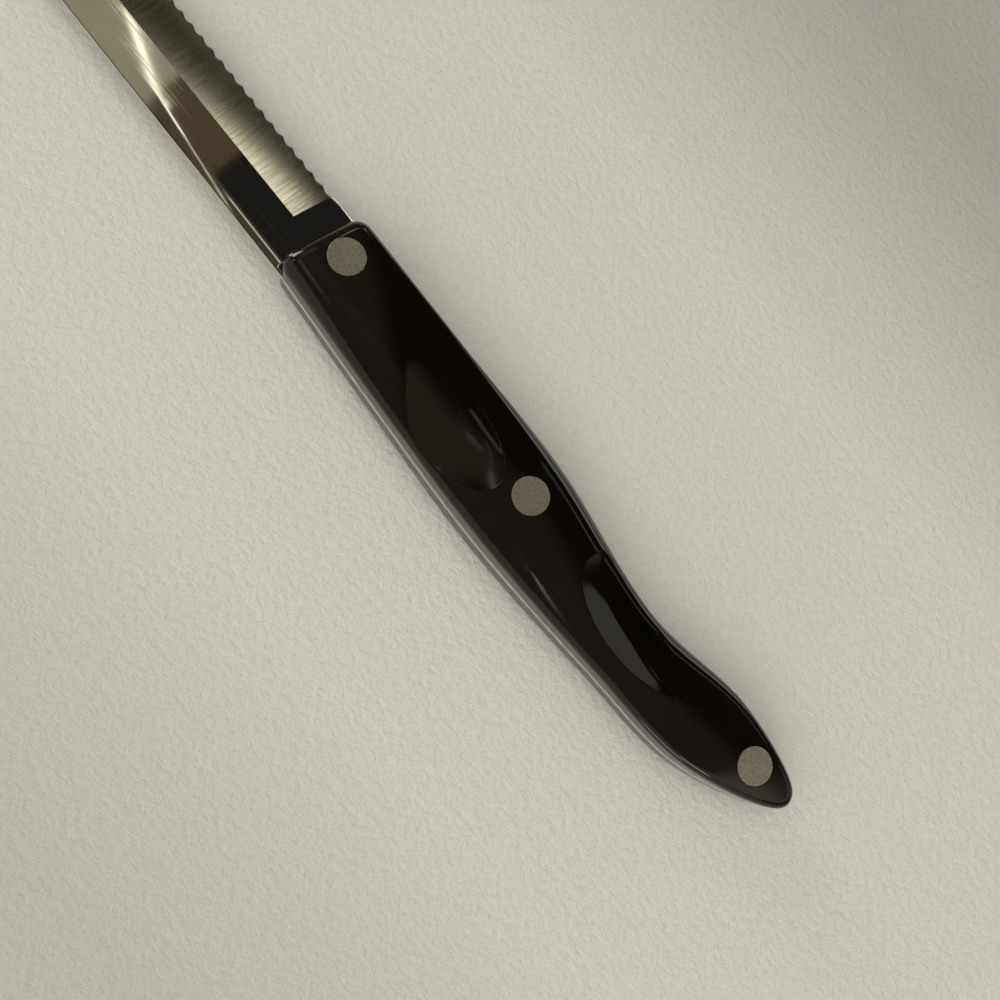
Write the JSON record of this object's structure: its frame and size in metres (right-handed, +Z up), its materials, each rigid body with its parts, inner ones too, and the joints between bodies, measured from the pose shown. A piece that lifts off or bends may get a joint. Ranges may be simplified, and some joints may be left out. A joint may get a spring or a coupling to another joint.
{
  "type": "carving knife",
  "caption": "Slim carving knife: scalloped, hollow-ground steel blade with a full tang between sculpted glossy dark resin scales, held by flush cutler's rivets.",
  "frame": {"origin": "middle of the footprint of the knife lying on its side, on the surface below it", "axes": "+X towards the point, +Y towards the spine, +Z up out of the blade's face"},
  "size_m": [0.3324, 0.0204, 0.0142],
  "materials": {
    "blade_steel": "polished flat, satin hollow grind",
    "handle_resin": "moulded dark brown resin, high gloss",
    "rivet_metal": "nickel silver, ground flush, lightly mottled"
  },
  "bodies": {
    "root": {"blade_and_tang": "blade_steel", "upper_scale": "handle_resin", "lower_scale": "handle_resin", "front_rivet_post": "rivet_metal", "front_rivet_socket": "rivet_metal", "middle_rivet_post": "rivet_metal", "middle_rivet_socket": "rivet_metal", "rear_rivet_post": "rivet_metal", "rear_rivet_socket": "rivet_metal"}
  },
  "joints": []
}
